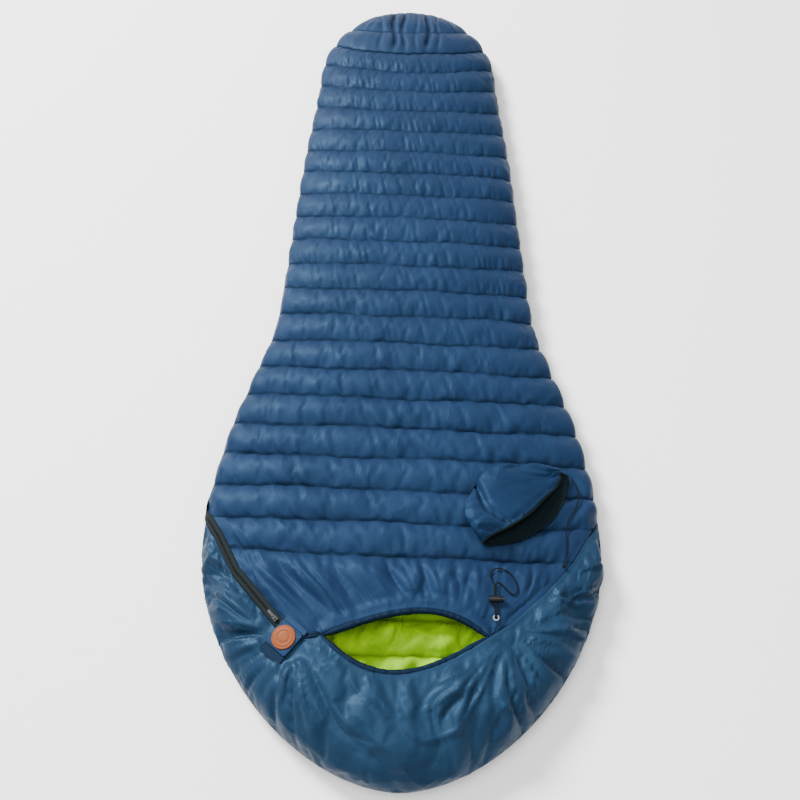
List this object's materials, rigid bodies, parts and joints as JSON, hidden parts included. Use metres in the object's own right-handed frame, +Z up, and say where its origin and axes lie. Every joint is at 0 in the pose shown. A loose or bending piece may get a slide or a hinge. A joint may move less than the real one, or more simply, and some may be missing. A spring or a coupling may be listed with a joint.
{
  "type": "mummy sleeping bag",
  "caption": "Quilted mummy sleeping bag with a hood, side zip, closure tab, hood drawcord with a sprung lock, and a loose stuff sack lying on its chest.",
  "frame": {"origin": "on the floor, under the middle of the bag's length and width", "axes": "+Z up from the floor; +Y from the hood to the feet; +X across the bag, to the side without the zip"},
  "size_m": [0.8016, 2.07, 0.1385],
  "materials": {
    "shell_fabric": "semi-matt ripstop nylon, slate blue",
    "hood_fabric": "semi-matt ripstop nylon, teal blue",
    "lining_fabric": "lime green taffeta",
    "insulation": "white synthetic filling",
    "binding": "navy edge binding",
    "zip_tape": "dark olive woven tape",
    "zip_coil": "dark nylon coil",
    "slider_metal": "black lacquered",
    "black_plastic": "satin",
    "hook_and_loop": "dark blue pile",
    "patch_leather": "orange-brown, pressed ring",
    "steel": "polished",
    "cord": "dark braided cord",
    "sack_fabric": "thin ripstop nylon, slate blue",
    "sack_cord": "dark braided cord"
  },
  "bodies": {
    "bag": {"back_shell": "shell_fabric", "back_fill": "insulation", "back_lining": "lining_fabric", "front_shell": "shell_fabric", "front_fill": "insulation", "front_lining": "lining_fabric", "hood_shell": "hood_fabric", "hood_fill": "insulation", "hood_lining": "lining_fabric", "footbox_shell": "shell_fabric", "footbox_fill": "insulation", "footbox_lining": "lining_fabric", "face_channel_front": "binding", "face_channel_hood": "binding", "zip_tape_bag": "zip_tape", "zip_teeth_bag": "zip_coil", "zip_bottom_stop": "black_plastic", "loop_patch": "hook_and_loop", "cord_eyelet": "steel", "drawcord": "cord"},
    "flap": {"flap_shell": "shell_fabric", "flap_fill": "insulation", "flap_lining": "lining_fabric", "face_channel_flap": "binding", "zip_tape_flap": "zip_tape", "zip_teeth_flap": "zip_coil", "zip_top_stop": "black_plastic", "tab_anchor": "shell_fabric"},
    "slider": {"zip_slider": "slider_metal"},
    "pull": {"zip_pull": "slider_metal"},
    "tab": {"closure_tab": "shell_fabric", "hook_patch": "hook_and_loop", "badge": "patch_leather"},
    "cord_lock": {"cord_lock_body": "black_plastic", "cord_lock_spring": "steel"},
    "plunger": {"cord_lock_plunger": "black_plastic"},
    "sack": {"stuff_sack": "sack_fabric", "sack_hem": "sack_fabric", "sack_cord": "sack_cord", "sack_cord_knot": "sack_cord"}
  },
  "joints": [
    {"name": "flap_fold", "type": "hinge", "parent": "bag", "child": "flap", "pos_m": [0.112, -0.737, 0.109], "axis": [-0.4157, 0.9095, 0], "range_deg": [0, 135]},
    {"name": "zip_slide", "type": "slide", "parent": "flap", "child": "slider", "axis": [-0.6511, 0.7488, -0.1238], "range_m": [0, 0.1]},
    {"name": "pull_swing", "type": "hinge", "parent": "slider", "child": "pull", "pos_m": [-0.2357, -0.7416, 0.1003], "axis": [0.741, 0.6625, 0.1099], "range_deg": [0, 100]},
    {"name": "tab_peel", "type": "hinge", "parent": "flap", "child": "tab", "pos_m": [-0.1989, -0.7589, 0.1037], "axis": [-0.7499, 0.6485, -0.1307], "range_deg": [0, 120]},
    {"name": "cord_lock_slide", "type": "slide", "parent": "bag", "child": "cord_lock", "axis": [0, 1, 0], "range_m": [0, 0.015]},
    {"name": "plunger_press", "type": "slide", "parent": "cord_lock", "child": "plunger", "axis": [-1, 0, 0], "range_m": [0, 0.004], "stiffness_N_per_m": 300, "deforming": ["cord_lock_spring"]},
    {"name": "sack_lift", "type": "slide", "parent": "bag", "child": "sack", "axis": [0, 0, 1], "range_m": [0, 0.35]}
  ]
}
